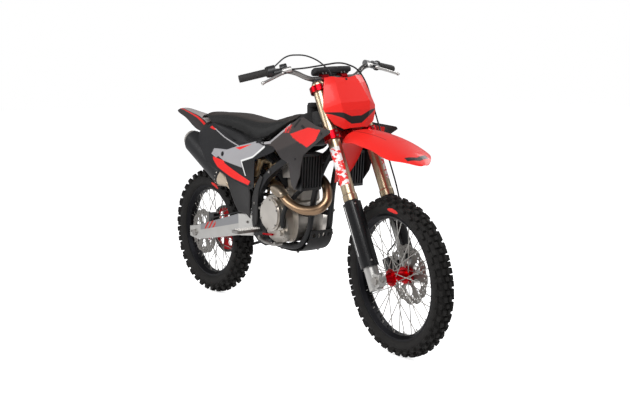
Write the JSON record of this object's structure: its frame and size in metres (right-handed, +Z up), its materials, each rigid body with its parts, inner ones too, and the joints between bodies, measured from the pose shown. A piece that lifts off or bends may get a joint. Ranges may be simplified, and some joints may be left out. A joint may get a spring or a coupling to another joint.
{
  "type": "motocross motorcycle",
  "caption": "Off-road motorcycle with long-travel fork, knobbly spoked wheels, single-cylinder engine, narrow seat and red and black bodywork.",
  "frame": {"origin": "the rider's seat point, on the seat's middle line at its low part", "axes": "+X forward, +Y to the rider's left, +Z up"},
  "size_m": [2.1656, 0.8174, 1.2652],
  "materials": {
    "frame_black": "satin black paint",
    "fork_gold": "champagne anodised",
    "fork_silver": "polished",
    "red_anodised": "red anodised",
    "cast_silver": "cast, bare",
    "cover_silver": "smooth, painted silver",
    "bare_steel": "bare",
    "axle_steel": "bare",
    "rim_black": "black anodised",
    "tyre_rubber": "matt",
    "chain_steel": "dark, oiled",
    "guide_black": "matt",
    "plastic_red": "gloss",
    "plastic_black": "satin",
    "plastic_shroud": "satin, printed",
    "plastic_side": "satin, printed",
    "plastic_tail": "satin, printed",
    "seat_cover": "grained",
    "exhaust_bronze": "heat-tinted",
    "muffler_black": "black sleeve, bare caps",
    "radiator_black": "matt black",
    "bar_titanium": "titanium-grey anodised",
    "grip_rubber": "matt",
    "pad_black": "matt",
    "control_black": "black and silver",
    "hose_black": "matt",
    "cable_black": "matt",
    "caliper_grey": "cast, dark",
    "shock_gold": "gold anodised",
    "spring_black": "black paint",
    "peg_steel": "bare"
  },
  "bodies": {
    "chassis": {"main_frame": "frame_black", "frame_cradle": "frame_black", "subframe": "cast_silver", "swingarm": "cast_silver", "rear_axle": "axle_steel", "rear_shock": "shock_gold", "shock_spring": "spring_black", "rear_caliper": "caliper_grey", "chain": "chain_steel", "chain_guide": "guide_black", "front_sprocket": "axle_steel", "engine_cases": "cast_silver", "engine_covers": "cover_silver", "engine_top_end": "cast_silver", "exhaust_header": "exhaust_bronze", "muffler": "muffler_black", "radiators": "radiator_black", "fuel_tank": "plastic_black", "seat": "seat_cover", "shrouds": "plastic_shroud", "side_panels": "plastic_side", "rear_fender": "plastic_tail", "airbox": "plastic_black", "skid_plate": "plastic_black", "foot_controls": "peg_steel"},
    "steering": {"triple_clamps": "red_anodised", "fork_outer_tubes": "fork_gold", "fork_legs": "fork_silver", "fork_guards": "plastic_black", "front_axle": "axle_steel", "front_fender": "plastic_red", "number_plate": "plastic_red", "handlebar": "bar_titanium", "grips": "grip_rubber", "bar_pad": "pad_black", "bar_controls": "control_black", "front_caliper": "caliper_grey", "brake_hose": "hose_black", "throttle_cable": "cable_black"},
    "front_wheel": {"front_tyre": "tyre_rubber", "front_rim": "rim_black", "front_spoked_hub": "red_anodised", "front_disc": "bare_steel"},
    "rear_wheel": {"rear_tyre": "tyre_rubber", "rear_rim": "rim_black", "rear_spoked_hub": "red_anodised", "rear_disc": "bare_steel", "rear_sprocket": "red_anodised"}
  },
  "joints": [
    {"name": "steering_turn", "type": "hinge", "parent": "chassis", "child": "steering", "pos_m": [0.87877, 0, -0.63799], "axis": [-0.4384, 0, 0.8988], "range_deg": [-35.5, 48.5]},
    {"name": "front_wheel_spin", "type": "hinge", "parent": "steering", "child": "front_wheel", "pos_m": [0.92967, -0.00645, -0.61316], "axis": [0.1017, 0.9936, 0.0496], "continuous": true},
    {"name": "rear_wheel_spin", "type": "hinge", "parent": "chassis", "child": "rear_wheel", "pos_m": [-0.56, 0, -0.621], "axis": [0, 1, 0], "continuous": true}
  ]
}
